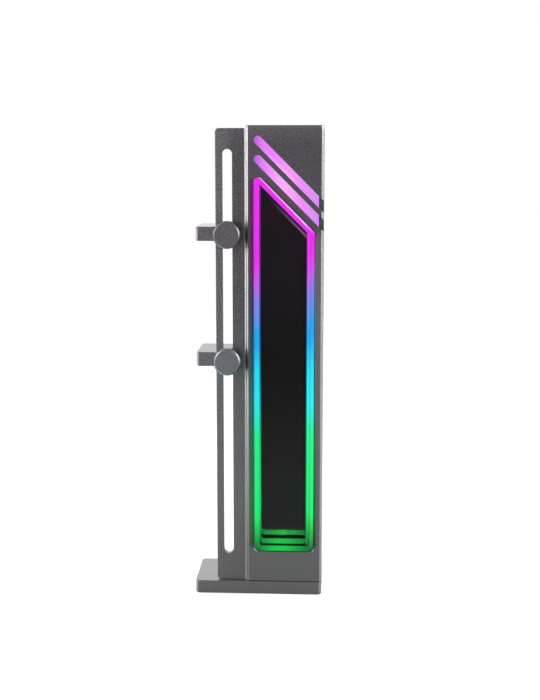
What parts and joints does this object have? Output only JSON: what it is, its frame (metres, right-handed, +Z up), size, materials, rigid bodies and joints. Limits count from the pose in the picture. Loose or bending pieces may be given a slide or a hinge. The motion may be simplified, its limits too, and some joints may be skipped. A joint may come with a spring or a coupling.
{
  "type": "graphics card support bracket",
  "caption": "Free-standing metal bracket: a lit mirror column on a foot, with a slotted rail that carries height-adjustable support arms clamped by round knobs.",
  "frame": {"origin": "middle of the foot's underside, on the surface that the bracket stands on", "axes": "+X to the right seen from the lit front, +Y to the back, +Z up"},
  "size_m": [0.076, 0.0471, 0.28],
  "materials": {
    "gunmetal": "satin gunmetal with a fine sand grain",
    "foot_rubber": "matt",
    "steel": "zinc plated",
    "magnet": "nickel plated",
    "half_mirror": "smoked half mirror",
    "black_plastic": "matt black",
    "light_guide": "milky, lit in a run of colours",
    "slot_light": "milky, lit pink",
    "mirror": "polished",
    "led_board": "white solder mask",
    "circuit_board": "green solder mask",
    "nylon": "black nylon"
  },
  "bodies": {
    "bracket": {"base_plate": "gunmetal", "base_pad": "foot_rubber", "base_screws": "steel", "magnet_1": "magnet", "magnet_2": "magnet", "magnet_3": "magnet", "magnet_4": "magnet", "column": "gunmetal", "top_cap": "gunmetal", "cap_screws": "steel", "rear_cover": "gunmetal", "cable_grommet": "foot_rubber", "front_glass": "half_mirror", "front_gasket": "black_plastic", "light_frame": "light_guide", "mirror_bezel": "black_plastic", "rear_mirror": "mirror", "back_plate": "black_plastic", "led_strip_left": "led_board", "led_strip_right": "led_board", "led_strip_bottom": "led_board", "led_strip_diagonal": "led_board", "slot_diffuser": "slot_light", "slot_board": "led_board", "controller_board": "circuit_board", "board_screws": "steel"},
    "upper_support": {"upper_arm": "gunmetal"},
    "upper_clamp": {"upper_washer": "nylon"},
    "upper_screw": {"upper_knob": "gunmetal", "upper_stud": "steel"},
    "lower_support": {"lower_arm": "gunmetal"},
    "lower_clamp": {"lower_washer": "nylon"},
    "lower_screw": {"lower_knob": "gunmetal", "lower_stud": "steel"}
  },
  "joints": [
    {"name": "upper_arm_slide", "type": "slide", "parent": "bracket", "child": "upper_support", "axis": [0, 0, 1], "range_m": [-0.0577, 0.0457]},
    {"name": "upper_clamp_slide", "type": "slide", "parent": "upper_support", "child": "upper_clamp", "axis": [0, -1, 0], "range_m": [0, 0.0012]},
    {"name": "upper_knob_turn", "type": "hinge", "parent": "upper_clamp", "child": "upper_screw", "pos_m": [-0.01795, -0.0153, 0.2174], "axis": [0, -1, 0], "range_deg": [0, 540]},
    {"name": "lower_arm_slide", "type": "slide", "parent": "bracket", "child": "lower_support", "axis": [0, 0, 1], "range_m": [-0.1147, 0.0577]},
    {"name": "lower_clamp_slide", "type": "slide", "parent": "lower_support", "child": "lower_clamp", "axis": [0, -1, 0], "range_m": [0, 0.0012]},
    {"name": "lower_knob_turn", "type": "hinge", "parent": "lower_clamp", "child": "lower_screw", "pos_m": [-0.01795, -0.0153, 0.1431], "axis": [0, -1, 0], "range_deg": [0, 540]}
  ],
  "couplings": [
    {"joint": "upper_knob_turn", "follows": "upper_clamp_slide", "rad_per_m": 7853.9},
    {"joint": "lower_knob_turn", "follows": "lower_clamp_slide", "rad_per_m": 7853.9}
  ]
}
